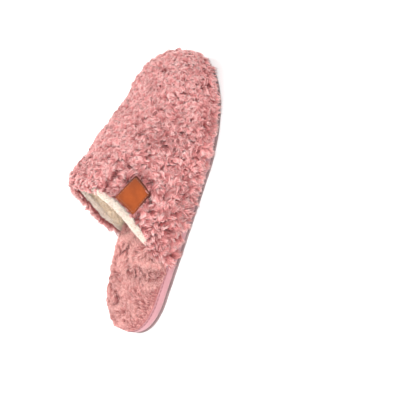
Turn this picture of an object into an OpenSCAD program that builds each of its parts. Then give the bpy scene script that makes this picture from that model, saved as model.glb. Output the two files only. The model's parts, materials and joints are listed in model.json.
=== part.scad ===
// Fluffy backless house slipper for the right foot, lying flat on its sole.
// +Y points to the toe, +X to the outer side of the foot, +Z up.
// The origin is on the ground, under the middle of the slipper.

/* [Sole outline] */
// Length of the sole
sole_len = 258; // [225:1:290]
// Width of the sole at the heel
heel_w = 68; // [60:1:76]
// Width of the sole at the ball of the foot
ball_w = 100; // [90:1:112]
// How far the inner side is cut in under the arch
arch_in = 4; // [0:0.5:8]
// How far the tip of the toe leans to the inner side
toe_in = 2.5; // [0:0.5:6]

/* [Sole layers] */
// Thickness of the rubber outsole
outsole_t = 2; // [2:0.5:5]
// Depth of the tread grooves
tread_depth = 1.2; // [0.5:0.1:1.5]
// Distance from one tread groove to the next
tread_pitch = 8; // [6:1:12]
// Height of the cloth wrap around the side of the sole
wrap_h = 9.5; // [7:0.5:12]
// Thickness of the cloth wrap
wrap_t = 1.4; // [1:0.1:2]
// Thickness of the insole board
board_t = 1.3; // [1:0.1:2]
// Thickness of the footbed foam
foam_t = 5; // [4:0.5:8]
// Thickness of the plush cover over the footbed foam
cover_t = 3.6; // [3:0.2:5]

/* [Upper] */
// Height of the upper over the sole seam at the throat of the collar
throat_h = 91; // [80:1:96]
// Height of the upper over the sole seam where its slope levels out at the toe
toe_h = 38; // [34:1:46]
// How far the upper stands out past the side of the sole
bulge = 3.6; // [2:0.2:5]
// How far the upper stands out past the toe of the sole
toe_over = 5; // [3:0.5:7]
// Roundness of the cross-section, where 2 is an ellipse and more is boxier
section_power = 2.6; // [2.2:0.1:3]
// Thickness of the outer plush
plush_t = 7; // [5:0.5:8]
// Thickness of the foam interlining
interlining_t = 2; // [1.5:0.1:3]
// Thickness of the fleece lining
lining_t = 2.2; // [1.5:0.1:3]

/* [Collar] */
// How far forward the throat of the collar lies
throat_y = -5; // [-12:0.5:2]
// How far forward the rear end of the collar lies on the outer side
wing_y = -55.5; // [-62:0.5:-48]
// How far forward the rear end of the collar lies on the inner side
inner_wing_y = -44; // [-56:0.5:-42]
// Squareness of the collar's U shape
collar_power = 3; // [2.2:0.1:3.5]
// Width of the rolled collar binding
binding_w = 7; // [4:0.5:8]
// Width of the stay tape hidden beside the collar
tape_w = 9; // [6:0.5:12]

/* [Tag] */
// Length of the leather tag, measured away from the collar
tag_len = 23.5; // [18:0.5:28]
// Distance from the collar to the tag
tag_gap = 1.5; // [1:0.5:5]
// Start of the tag around the upper, where 0 is the top and 1 the sole seam
tag_from = 0.49; // [0.4:0.01:0.55]
// End of the tag around the upper
tag_to = 0.7; // [0.62:0.01:0.76]
// How far around the upper the far edge of the tag is shifted, to keep the tag square
tag_skew = 0.035; // [0:0.005:0.05]
// Thickness of the tag
tag_t = 1.5; // [1:0.1:2]

/* [Flex line] */
// How far forward the sole bends, at the middle of the ball of the foot
flex_y = 44; // [35:1:55]
// Angle of the bend line, which lies further forward on the inner side
flex_skew = 12; // [0:1:18]

/* [Hidden] */

gap = 0.2;                          // room between layers that are glued or sewn together
heel_lap = 1;                       // how far the footbed cover bulges past the heel
heel_y = heel_lap - (sole_len + toe_over + heel_lap) / 2;
toe_y = heel_y + sole_len;
tip_y = toe_y + toe_over;           // front of the upper
heel_k = 0.14;                      // share of the length taken by the round heel
toe_k = 0.68;                       // share of the length where the toe starts to round off
round_power = 2.2;                  // roundness of the toe in plan
flare_k = [0.1, 0.65];              // shares of the length between which the sole widens
waist_k = [0.12, 0.68];             // shares of the length between which the arch is cut in
lean_k = [0.62, 1];                 // shares of the length between which the toe leans inwards
slope_run = 52;                     // length of the rounded-off toe
slope_end_y = tip_y - slope_run;    // where the top of the upper levels out, then rounds off
slope_ease = 0.03;                  // softness of that change of slope
nose_power = 2.3;                   // roundness of the toe seen from the side
pinch = 0.5;                        // how much the upper is squeezed thin at the sole seam
pinch_power = 8;

wrap_z = outsole_t + 0.1;
flange_w = 10;                      // how far the wrap is turned in under the midsole
flange_t = 0.8;
seam_z = wrap_z + wrap_h;           // top of the wrap, where upper, cover and wrap are sewn together
board_z = seam_z + gap;
foam_z = board_z + board_t + gap;
pocket_z = foam_z + foam_t + gap;
cover_top_z = pocket_z + cover_t;

tape_d = plush_t + gap;             // depths below the outer face of the upper
tape_t = 0.6;
tape_start = 0.5;                   // how far from the collar the tape starts
foam_d = tape_d + tape_t + gap;
lining_d = foam_d + interlining_t + gap;
upper_t = lining_d + lining_t;      // whole thickness of the upper
cover_room = 4.4;                   // room between the cover and the lining at the toe
cover_in = (upper_t - bulge) * pinch + cover_room;  // the cover stays inside the upper further forward
cover_round = 4;                    // how far the cover's edge rounds inwards
lap_behind = 18;                    // the cover starts to narrow this far behind the end of the collar
lap_len = 15;                       // length over which it narrows
groove_w = 3;                       // width of a tread groove
tread_rim = 8;                      // plain rim of the outsole beside the grooves
binding_d = 0.6;                    // depth of the top of the binding, below the outer face
outline_steps = 44;                 // points along each side of the sole
shell_rows = 22;
shell_cols = 36;
stitch_r = 0.35;
stitch_drop = 1.2;                  // how far the sole stitches lie below the top of the wrap

plush_pink = [0.86, 0.62, 0.61];
footbed_pink = [0.84, 0.60, 0.60];
wrap_pink = [0.82, 0.59, 0.60];
cream = [0.95, 0.91, 0.85];
rubber_rose = [0.52, 0.42, 0.42];
tan_leather = [0.74, 0.38, 0.17];
thread_rose = [0.62, 0.36, 0.38];
thread_tan = [0.86, 0.58, 0.34];
eva_white = [0.94, 0.92, 0.88];
board_brown = [0.72, 0.6, 0.46];
foam_yellow = [0.96, 0.9, 0.7];
interlining_white = [0.97, 0.95, 0.9];
tape_grey = [0.9, 0.88, 0.86];

function lerp(a, b, k) = a + (b - a) * k;
function clamp(k) = min(1, max(0, k));
function smooth(k) = let (c = clamp(k)) c * c * (3 - 2 * c);
function part_way(k, ends) = clamp((k - ends[0]) / (ends[1] - ends[0]));

// Plan shape of the sole. k runs from 0 at the back of the heel to 1 at the toe.
function flare(k) = part_way(k, flare_k);
function waist(k) = pow(sin(180 * part_way(k, waist_k)), 2);
function heel_round(k) = k < heel_k ? sqrt(1 - pow((heel_k - k) / heel_k, 2)) : 1;
function toe_round(k) =
    k > toe_k ? pow(1 - pow((k - toe_k) / (1 - toe_k), round_power), 1 / round_power) : 1;
function end_round(k) = heel_round(k) * toe_round(k);
function half_w(k) = (lerp(heel_w, ball_w, flare(k)) - arch_in * waist(k)) / 2 * end_round(k);
function mid_x(k) = arch_in / 2 * waist(k) - toe_in * smooth(part_way(k, lean_k));
function side_steps() = [for (i = [0 : outline_steps]) (1 - cos(180 * i / outline_steps)) / 2];

// A closed outline, moved in by heel_d at the heel and by toe_d further forward.
function edge_x(k, d, side) = mid_x(k) + side * (half_w(k) - d * end_round(k));
function lap(k, heel_d, toe_d, side) =
    lerp(heel_d, toe_d, smooth((heel_y + k * sole_len - wing_end(side) + lap_behind) / lap_len));
function edge_point(k, heel_d, toe_d, side) =
    [edge_x(k, lap(k, heel_d, toe_d, side), side), lerp(heel_y + heel_d, toe_y - toe_d, k)];
function outline(heel_d, toe_d) = let (ks = side_steps()) concat(
    [for (i = [0 : outline_steps]) edge_point(ks[i], heel_d, toe_d, 1)],
    [for (i = [outline_steps - 1 : -1 : 1]) edge_point(ks[i], heel_d, toe_d, -1)]);

// The upper. y is the place along the slipper, s runs from -1 at the inner sole seam
// over the top to 1 at the outer sole seam, and d is the depth below the outer face.
function tip(d) = tip_y - d;
function upper_h(y, d) =
    let (reach = (slope_end_y - y) / (slope_end_y - throat_y),
         ramp = (reach + sqrt(reach * reach + slope_ease)) / 2,
         nose = clamp((y - slope_end_y) / (tip(d) - slope_end_y)))
    (toe_h + (throat_h - toe_h) * ramp - d) * pow(1 - pow(nose, nose_power), 1 / nose_power);
function upper_point(y, s, d) =
    let (k = clamp((y - heel_y) / (tip(d) - heel_y)), e = 2 / section_power,
         w = half_w(k) + (bulge - d) * toe_round(k) * (1 - pinch * pow(abs(s), pinch_power)))
    [mid_x(k) + sign(s) * pow(abs(sin(90 * s)), e) * w, y,
     seam_z + gap + pow(cos(90 * s), e) * upper_h(y, d)];
function wing_end(side) = side < 0 ? inner_wing_y : wing_y;
function collar_y(s) = throat_y - (throat_y - wing_end(s)) * pow(abs(s), collar_power);

// A place is ahead of the bend line where this is more than 0.
function ahead(p) = sin(flex_skew) * p[0] + cos(flex_skew) * (p[1] - flex_y);

// Faces of a grid of points, rows of cols + 1 points each, looked at from outside.
function grid_faces(rows, cols, first, flip) = [
    for (i = [0 : rows - 2], j = [0 : cols - 1], half = [0, 1])
        let (a = first + i * (cols + 1) + j, b = a + 1, c = a + cols + 1, d = c + 1,
             f = half == 0 ? [c, b, a] : [c, d, b])
        flip ? [f[2], f[1], f[0]] : f];
function fan_faces(rows, cols, first, pole, flip) = [
    for (j = [0 : cols - 1])
        let (a = first + (rows - 1) * (cols + 1) + j)
        flip ? [a, a + 1, pole] : [pole, a + 1, a]];
function strip_faces(outer, inner) = [
    for (i = [0 : len(outer) - 1], half = [0, 1])
        let (n = (i + 1) % len(outer))
        half == 0 ? [outer[i], outer[n], inner[n]] : [outer[i], inner[n], inner[i]]];

// A sheet of even thickness, between depths d0 and d1, from the collar to the toe.
module upper_layer(d0, d1) {
    cols = shell_cols;
    rows = shell_rows;
    count = rows * (cols + 1);
    function face(d) = [for (i = [0 : rows - 1], j = [0 : cols])
        let (s = 2 * j / cols - 1)
        upper_point(lerp(collar_y(s), tip(d), sin(90 * i / rows)), s, d)];
    function rim(first, pole) = concat(
        [for (j = [0 : cols]) first + j],
        [for (i = [1 : rows - 1]) first + i * (cols + 1) + cols],
        [pole],
        [for (i = [rows - 1 : -1 : 1]) first + i * (cols + 1)]);
    outer_tip = 2 * count;
    inner_tip = outer_tip + 1;
    tips = [for (d = [d0, d1]) [mid_x(1), tip(d), seam_z + gap]];
    faces = concat(
        grid_faces(rows, cols, 0, false),
        fan_faces(rows, cols, 0, outer_tip, false),
        grid_faces(rows, cols, count, true),
        fan_faces(rows, cols, count, inner_tip, true),
        strip_faces(rim(0, outer_tip), rim(count, inner_tip)));
    polyhedron(concat(face(d0), face(d1), tips), faces, convexity = 6);
}

// A patch of the upper between two places around it and two distances from the collar.
// Its far edge is shifted around the upper by skew.
module upper_patch(s0, s1, from, to, d0, d1, skew, rows, cols) {
    count = rows * (cols + 1);
    function face(d) = [for (i = [0 : rows - 1], j = [0 : cols])
        let (far = i / (rows - 1), s = lerp(s0, s1, j / cols) + skew * far)
        upper_point(collar_y(s) + lerp(from, to, far), s, d)];
    function rim(first) = concat(
        [for (j = [0 : cols]) first + j],
        [for (i = [1 : rows - 1]) first + i * (cols + 1) + cols],
        [for (j = [cols - 1 : -1 : 0]) first + (rows - 1) * (cols + 1) + j],
        [for (i = [rows - 2 : -1 : 1]) first + i * (cols + 1)]);
    faces = concat(
        grid_faces(rows, cols, 0, false),
        grid_faces(rows, cols, count, true),
        strip_faces(rim(0), rim(count)));
    polyhedron(concat(face(d0), face(d1)), faces, convexity = 6);
}

// A solid through a list of rings of points, closed flat at both ends.
module loft(rings) {
    n = len(rings[0]);
    last = len(rings) - 1;
    sides = [for (r = [0 : last - 1], i = [0 : n - 1], half = [0, 1])
        let (a = r * n + i, b = r * n + (i + 1) % n, c = a + n, d = b + n)
        half == 0 ? [a, c, b] : [b, c, d]];
    caps = [[for (i = [0 : n - 1]) i], [for (i = [n - 1 : -1 : 0]) last * n + i]];
    polyhedron([for (r = rings) each r], concat(sides, caps), convexity = 6);
}

module slab(z0, z1, heel_d, toe_d) {
    translate([0, 0, z0]) linear_extrude(z1 - z0) polygon(outline(heel_d, toe_d));
}

// One stitch from p to q.
module stitch(p, q) {
    v = q - p;
    translate(p) rotate([0, acos(v[2] / norm(v)), atan2(v[1], v[0])])
        cylinder(h = norm(v), r = stitch_r, $fn = 6);
}

// Everything behind or ahead of the bend line.
module rear_part() {
    intersection() {
        children();
        translate([0, flex_y, 0]) rotate([0, 0, -flex_skew])
            translate([-200, -400 - gap / 2, -10]) cube([400, 400, 200]);
    }
}
module front_part() {
    intersection() {
        children();
        translate([0, flex_y, 0]) rotate([0, 0, -flex_skew])
            translate([-200, gap / 2, -10]) cube([400, 400, 200]);
    }
}

// Rubber outsole with cross grooves that stop short of its edge.
module outsole() {
    color(rubber_rose) difference() {
        slab(0, outsole_t, 0, 0);
        for (y = [heel_y + 2 * tread_pitch : tread_pitch : toe_y - 2 * tread_pitch])
            if (abs(y - flex_y) > tread_pitch) {
                k = (y - heel_y) / sole_len;
                reach = half_w(k) - tread_rim;
                translate([mid_x(k) - reach, y - groove_w / 2, -1])
                    cube([2 * reach, groove_w, 1 + tread_depth]);
            }
    }
}

// Soft EVA midsole, stepped where the wrap is turned in under it.
module midsole() {
    color(eva_white) {
        slab(wrap_z, wrap_z + flange_t + gap, flange_w + gap, flange_w + gap);
        slab(wrap_z + flange_t + gap, seam_z, wrap_t + gap, wrap_t + gap);
    }
}

// Smooth cloth band around the midsole, turned in under it.
module sidewall_wrap() {
    color(wrap_pink) difference() {
        slab(wrap_z, seam_z, 0, 0);
        slab(wrap_z + flange_t, seam_z + 1, wrap_t, wrap_t);
        slab(wrap_z - 1, wrap_z + flange_t + 1, flange_w, flange_w);
    }
}

module insole_board() {
    color(board_brown)
        slab(board_z, board_z + board_t, -heel_lap + cover_t + gap, cover_in + cover_t + gap);
}

module footbed_foam() {
    color(foam_yellow)
        slab(foam_z, foam_z + foam_t, -heel_lap + cover_t + gap, cover_in + cover_t + gap);
}

// Plush cover, round at its edge and hollow below for the board and the foam.
module footbed_cover() {
    edge_r = cover_top_z - seam_z - gap;
    color(footbed_pink) difference() {
        loft([for (a = [0 : 15 : 90])
            let (d = cover_round * (1 - cos(a)), z = seam_z + gap + edge_r * sin(a))
            [for (p = outline(-heel_lap + d, cover_in + d)) [p[0], p[1], z]]]);
        slab(seam_z - 1, pocket_z, -heel_lap + cover_t, cover_in + cover_t);
    }
}

module upper_lining() { color(cream) upper_layer(lining_d, lining_d + lining_t); }
module upper_foam() { color(interlining_white) upper_layer(foam_d, foam_d + interlining_t); }
module upper_plush() { color(plush_pink) upper_layer(0, plush_t); }

// Woven tape sewn between plush and foam, which keeps the collar from stretching.
module collar_stay_tape() {
    color(tape_grey)
        upper_patch(-0.97, 0.97, tape_start, tape_w, tape_d, tape_d + tape_t, 0, 4, 40);
}

// Lining rolled out over the raw edge of the collar.
module collar_binding() {
    stations = 44;
    corners = 12;
    color(cream) loft([for (i = [0 : stations])
        let (s = 2 * i / stations - 1)
        [for (c = [0 : corners - 1])
            let (a = 360 * c / corners,
                 d = upper_t / 2 - (upper_t / 2 - binding_d) * cos(a),
                 from_edge = -gap - binding_w / 2 * (1 + sin(a)))
            upper_point(collar_y(s) + from_edge, s, d)]]);
}

// Stitches that hold the binding, along the outside of the collar.
module collar_stitches() {
    count = 56;
    d = -gap - stitch_r;
    color(thread_rose) for (i = [1 : count - 2]) {
        s0 = 2 * (i + 0.2) / count - 1;
        s1 = 2 * (i + 0.8) / count - 1;
        stitch(upper_point(collar_y(s0), s0, d), upper_point(collar_y(s1), s1, d));
    }
}

// Stitches that join wrap, cover and upper, around the top of the wrap.
module sole_seam_stitches(front) {
    ring = outline(-stitch_r - 0.1, -stitch_r - 0.1);
    color(thread_rose) for (i = [0 : len(ring) - 1]) {
        p = ring[i];
        q = ring[(i + 1) % len(ring)];
        pieces = max(1, round(norm(q - p) / 5));
        for (n = [0 : pieces - 1]) {
            a = lerp(p, q, (n + 0.2) / pieces);
            b = lerp(p, q, (n + 0.8) / pieces);
            if (front ? min(ahead(a), ahead(b)) > 1 : max(ahead(a), ahead(b)) < -1)
                stitch([a[0], a[1], seam_z - stitch_drop], [b[0], b[1], seam_z - stitch_drop]);
        }
    }
}

module leather_tag() {
    color(tan_leather)
        upper_patch(tag_from, tag_to, tag_gap, tag_gap + tag_len, -tag_t - gap, -gap, tag_skew, 9, 9);
}

// Row of stitches inside the edge of the tag.
module tag_stitches() {
    d = -tag_t - 2 * gap - stitch_r;
    in_s = 0.016;
    in_y = 1.8;
    count = 7;
    corners = [[tag_from + in_s, tag_gap + in_y], [tag_to - in_s, tag_gap + in_y],
               [tag_to - in_s, tag_gap + tag_len - in_y], [tag_from + in_s, tag_gap + tag_len - in_y]];
    function on_tag(c) =
        let (s = c[0] + tag_skew * (c[1] - tag_gap) / tag_len)
        upper_point(collar_y(s) + c[1], s, d);
    color(thread_tan) for (side = [0 : 3], i = [0 : count - 1]) {
        a = corners[side];
        b = corners[(side + 1) % 4];
        stitch(on_tag(lerp(a, b, (i + 0.2) / count)), on_tag(lerp(a, b, (i + 0.8) / count)));
    }
}

rear_part() outsole();  // outsole_rear
front_part() outsole();  // outsole_forefoot
rear_part() midsole();  // midsole_rear
front_part() midsole();  // midsole_forefoot
rear_part() sidewall_wrap();  // sidewall_wrap_rear
front_part() sidewall_wrap();  // sidewall_wrap_forefoot
rear_part() insole_board();  // insole_board_rear
front_part() insole_board();  // insole_board_forefoot
rear_part() footbed_foam();  // footbed_foam_rear
front_part() footbed_foam();  // footbed_foam_forefoot
rear_part() footbed_cover();  // footbed_cover_rear
front_part() footbed_cover();  // footbed_cover_forefoot
rear_part() upper_lining();  // upper_lining_rear
front_part() upper_lining();  // upper_lining_forefoot
rear_part() upper_foam();  // upper_foam_rear
front_part() upper_foam();  // upper_foam_forefoot
rear_part() upper_plush();  // upper_plush_rear
front_part() upper_plush();  // upper_plush_forefoot
collar_stay_tape();
collar_binding();
collar_stitches();
sole_seam_stitches(false);  // sole_seam_stitches_rear
sole_seam_stitches(true);  // sole_seam_stitches_forefoot
leather_tag();
tag_stitches();
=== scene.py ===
"""Looks of a fluffy backless house slipper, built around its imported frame.

Sizes are in millimetres, as in the part's source, and MM turns them into metres.
+Y points to the toe, +X to the outer side of the foot, +Z up.
"""

import json
import math

import bmesh
import bpy
import numpy as np
from mathutils import Matrix, Vector, noise
from mathutils.kdtree import KDTree


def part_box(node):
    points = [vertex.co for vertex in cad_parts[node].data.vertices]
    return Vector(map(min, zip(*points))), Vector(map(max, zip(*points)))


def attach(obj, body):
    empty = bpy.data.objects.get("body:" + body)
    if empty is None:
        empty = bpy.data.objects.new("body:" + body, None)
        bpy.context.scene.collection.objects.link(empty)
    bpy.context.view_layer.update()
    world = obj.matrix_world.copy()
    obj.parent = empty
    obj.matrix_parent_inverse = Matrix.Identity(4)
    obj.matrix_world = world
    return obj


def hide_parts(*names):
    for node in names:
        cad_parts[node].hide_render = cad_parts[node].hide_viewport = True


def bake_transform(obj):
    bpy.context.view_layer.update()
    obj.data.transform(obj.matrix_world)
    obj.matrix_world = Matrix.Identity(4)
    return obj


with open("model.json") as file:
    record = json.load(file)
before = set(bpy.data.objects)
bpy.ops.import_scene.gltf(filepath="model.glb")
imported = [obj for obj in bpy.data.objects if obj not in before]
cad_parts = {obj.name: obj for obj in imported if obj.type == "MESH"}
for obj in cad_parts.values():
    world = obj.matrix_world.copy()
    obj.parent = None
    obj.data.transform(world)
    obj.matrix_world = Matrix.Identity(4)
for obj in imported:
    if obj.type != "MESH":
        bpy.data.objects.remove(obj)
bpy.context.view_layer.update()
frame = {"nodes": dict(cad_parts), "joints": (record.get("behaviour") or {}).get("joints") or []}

MM = 0.001
rng = np.random.default_rng(11)


# ---------------------------------------------------------------- sizes, from the frame


def node_box(*names):
    """Lowest and highest corners of some CAD nodes together, in millimetres."""
    corners = np.array([[list(c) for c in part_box(n)] for n in names]) / MM
    return corners[:, 0].min(0), corners[:, 1].max(0)


sole_low, sole_high = node_box("outsole_rear", "outsole_forefoot")
wrap_low, wrap_high = node_box("sidewall_wrap_rear", "sidewall_wrap_forefoot")
board_low, board_high = node_box("insole_board_rear", "insole_board_forefoot")
foam_low, foam_high = node_box("footbed_foam_rear", "footbed_foam_forefoot")
cover_high = node_box("footbed_cover_rear", "footbed_cover_forefoot")[1]
plush_high = node_box("upper_plush_rear", "upper_plush_forefoot")[1]

GAP = 0.2
TINY = 1e-6
HEEL_Y = sole_low[1]
TOE_Y = sole_high[1]
TIP_Y = plush_high[1]
SOLE_LEN = TOE_Y - HEEL_Y
OUTSOLE_T = sole_high[2]
WRAP_Z = wrap_low[2]
SEAM_Z = wrap_high[2]
BASE_Z = SEAM_Z + GAP
COVER_TOP_Z = cover_high[2]

# Plan shape of the sole, as in the part's source.
HEEL_W = 68
BALL_W = 100
ARCH_IN = 4
TOE_IN = 2.5
HEEL_K = 0.14
TOE_K = 0.68
ROUND_POWER = 2.2
FLARE_K = (0.1, 0.65)
WAIST_K = (0.12, 0.68)
LEAN_K = 0.62
LAP_LEN = 15

# The upper, as in the part's source.
THROAT_H = 91
TOE_H = 38
BULGE = 3.6
SECTION_POWER = 2.6
SLOPE_END_Y = TIP_Y - 52
SLOPE_EASE = 0.03
NOSE_POWER = 2.3
PINCH = 0.5
PINCH_POWER = 8
PLUSH_T = 7
FOAM_D = 8
LINING_D = 10.2
UPPER_T = 12.4
THROAT_Y = -5
WING_Y = -55.5
INNER_WING_Y = -44
COLLAR_POWER = 3
BINDING_W = 7
TAG_FROM, TAG_TO, TAG_SKEW = 0.49, 0.7, 0.035
TAG_GAP, TAG_LEN, TAG_T = 1.5, 23.5, 1.5

# The footbed and the tread, as in the part's source.
COVER_T = 3.6
COVER_IN = 8.8
HEEL_LAP = 1
TREAD_PITCH = 8
TREAD_DEPTH = 1.2

# Unlike the part's source: the footbed goes in under the upper further forward, the wrap bulges,
# and the grooves of the tread have sloping sides and ends.
LAP_BEHIND = 5
WRAP_T = 1.6
WRAP_GAP = 0.1
GROOVE_HALF_W = 1.2
GROOVE_SLOPE = 0.6
GROOVE_END = 0.9
GROOVE_END_SLOPE = 0.06

# The pile: how deep it is rooted below the surface of the CAD model, how long it is, where it ends.
FOOT_PILE = 3.2
FOOTBED_LENGTH = 9
FLUFF_END_Y = 75
UPPER_PILE = 5.0
UPPER_LENGTH = 9.5
UPPER_LOW_LENGTH = 11.5
LINING_END_Y = 70
LINING_LENGTH = 2.6
BINDING_LENGTH = 3.2
ROLL_MIDDLE_D = 8.8
ROLL_TURN = 0.56 * math.pi
BINDING_D = 1.0
BINDING_FAR_D = 6.1
BINDING_SHRINK = 1.0
STRAND_LOW_Z = 0.6
STITCH_R = 0.35
COLLAR_STITCHES = 56

# The tag: roundness of its corners, thickness at its edge, and width of the dark rim as a share.
TAG_SQUARE_POWER = 18
TAG_EDGE_T = 0.35
TAG_CURL = 0.09
TAG_RIM = 0.28
TAG_SEAM = 0.86
TAG_STITCHES_A_SIDE = 8

# How many strands each pile has, and into how many pieces it is split.
FOOTBED_STRANDS, FOOTBED_PIECES = 26000, 5
UPPER_STRANDS, UPPER_PIECES = 58000, 11
LINING_STRANDS, LINING_PIECES = 16000, 2
BINDING_STRANDS, BINDING_PIECES = 18000, 2

# The bend of the sole at the ball of the foot.
hinge = next(j for j in frame["joints"] if j["name"] == "ball_flex")
HINGE = Vector(hinge["pos_m"])
AHEAD = Vector((0, 0, 1)).cross(Vector(hinge["axis"])).normalized()


# ---------------------------------------------------------------- formulas of the shape


def lerp(a, b, k):
    return a + (b - a) * k


def part_way(value, start, end):
    """How far value is on its way from start to end, between 0 and 1."""
    return np.clip((value - start) / (end - start), 0, 1)


def smooth(k):
    """A soft step from 0 to 1."""
    c = np.clip(k, 0, 1)
    return c * c * (3 - 2 * c)


def heel_round(k):
    """0 at the back of the heel, 1 from where the sole has its full width."""
    return np.sqrt(1 - np.clip((HEEL_K - k) / HEEL_K, 0, 1) ** 2)


def toe_round(k):
    """1 up to the ball of the foot, 0 at the tip of the toe."""
    return (1 - np.clip((k - TOE_K) / (1 - TOE_K), 0, 1) ** ROUND_POWER) ** (1 / ROUND_POWER)


def waist(k):
    """0 at both ends of the arch of the foot and 1 in its middle."""
    return np.sin(math.pi * part_way(k, *WAIST_K)) ** 2


def half_w(k):
    """Half the width of the sole at share k of its length."""
    wide = lerp(HEEL_W, BALL_W, part_way(k, *FLARE_K)) - ARCH_IN * waist(k)
    return wide / 2 * heel_round(k) * toe_round(k)


def mid_x(k):
    """Where the middle line of the sole runs."""
    return ARCH_IN / 2 * waist(k) - TOE_IN * smooth(part_way(k, LEAN_K, 1))


def wing_end(side):
    """Where the upper ends on either side of the foot."""
    return np.where(side < 0, INNER_WING_Y, WING_Y)


def lap(k, side, heel_d, toe_d):
    """An inset that changes from heel_d to toe_d just behind the end of the collar."""
    return lerp(heel_d, toe_d, smooth((HEEL_Y + k * SOLE_LEN - wing_end(side) + LAP_BEHIND) / LAP_LEN))


def sole_point(k, side, heel_d, toe_d, inset=0.0):
    """A point at share k of the length and side -1 to 1 across, on an outline moved inwards."""
    reach = half_w(k) - (lap(k, side, heel_d, toe_d) + inset) * heel_round(k) * toe_round(k)
    return mid_x(k) + side * reach, lerp(HEEL_Y + heel_d + inset, TOE_Y - toe_d - inset, k)


def collar_y(s):
    """Where the edge of the collar lies at s, which upper_point explains."""
    return THROAT_Y - (THROAT_Y - wing_end(s)) * np.abs(s) ** COLLAR_POWER


def upper_point(y, s, d):
    """A point of the upper: s runs from -1 at the inner seam over the top to 1, d is the depth."""
    y, s, d = np.broadcast_arrays(*[np.asarray(v, float) for v in (y, s, d)])
    tip = TIP_Y - d
    k = np.clip((y - HEEL_Y) / (tip - HEEL_Y), 0, 1)
    reach = (SLOPE_END_Y - y) / (SLOPE_END_Y - THROAT_Y)
    ramp = (reach + np.sqrt(reach * reach + SLOPE_EASE)) / 2
    nose = np.clip((y - SLOPE_END_Y) / (tip - SLOPE_END_Y), 0, 1)
    height = (TOE_H + (THROAT_H - TOE_H) * ramp - d) * (1 - nose ** NOSE_POWER) ** (1 / NOSE_POWER)
    width = half_w(k) + (BULGE - d) * toe_round(k) * (1 - PINCH * np.abs(s) ** PINCH_POWER)
    power = 2 / SECTION_POWER
    across = np.sign(s) * np.abs(np.sin(s * math.pi / 2)) ** power
    up = np.clip(np.cos(s * math.pi / 2), 0, 1) ** power
    return np.stack([mid_x(k) + across * width, y, BASE_Z + up * height], -1)


# ---------------------------------------------------------------- meshes

WELD = 0.02
EDGE_STEPS = 5
ACROSS_STEPS = 25
UPPER_ROWS, UPPER_COLS = 56, 90


def unit(v):
    return v / np.maximum(np.linalg.norm(v, axis=-1, keepdims=True), 1e-9)


def grid_faces(rows, cols, first=0, flip=False):
    """Quads of a grid of points, rows of cols points each."""
    a = (first + np.arange(rows - 1)[:, None] * cols + np.arange(cols - 1)).ravel()
    quads = np.stack([a, a + 1, a + cols + 1, a + cols], 1)
    return [tuple(q) for q in (quads[:, ::-1] if flip else quads).tolist()]


def new_object(name, points, faces, material, smooth_shaded=True):
    """A mesh object from points in millimetres."""
    mesh = bpy.data.meshes.new(name)
    mesh.from_pydata((np.asarray(points) * MM).tolist(), [], faces)
    mesh.polygons.foreach_set("use_smooth", [smooth_shaded] * len(mesh.polygons))
    mesh.materials.append(material)
    mesh.validate()
    made = bpy.data.objects.new(name, mesh)
    bpy.context.scene.collection.objects.link(made)
    return made


def loft(name, rings, material):
    """A closed solid through rings of points, with a flat end at each side."""
    count, corners = rings.shape[:2]
    a = np.arange(count - 1)[:, None] * corners + np.arange(corners)
    b = np.arange(count - 1)[:, None] * corners + (np.arange(corners) + 1) % corners
    quads = np.stack([a, b, b + corners, a + corners], -1).reshape(-1, 4)
    faces = [tuple(q) for q in quads.tolist()]
    faces.append(tuple(range(corners - 1, -1, -1)))
    faces.append(tuple(range((count - 1) * corners, count * corners)))
    return new_object(name, rings.reshape(-1, 3), faces, material)


def sheet(name, outer, inner, material):
    """A closed sheet between two grids of points of the same size."""
    rows, cols = outer.shape[:2]
    half = rows * cols
    faces = grid_faces(rows, cols, 0) + grid_faces(rows, cols, half, True)
    rim = list(range(cols)) + [r * cols + cols - 1 for r in range(1, rows)]
    rim += [(rows - 1) * cols + c for c in range(cols - 2, -1, -1)]
    rim += [r * cols for r in range(rows - 2, 0, -1)]
    for n, here in enumerate(rim):
        after = rim[(n + 1) % len(rim)]
        faces.append((here, here + half, after + half, after))
    points = np.concatenate([outer.reshape(-1, 3), inner.reshape(-1, 3)])
    return new_object(name, points, faces, material)


def clean(piece):
    """Joins points that lie on one another and turns all faces outwards."""
    work = bmesh.new()
    work.from_mesh(piece.data)
    bmesh.ops.remove_doubles(work, verts=work.verts, dist=WELD * MM)
    bmesh.ops.dissolve_degenerate(work, edges=work.edges, dist=WELD / 2 * MM)
    bmesh.ops.recalc_face_normals(work, faces=work.faces)
    work.to_mesh(piece.data)
    work.free()
    return piece


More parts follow.
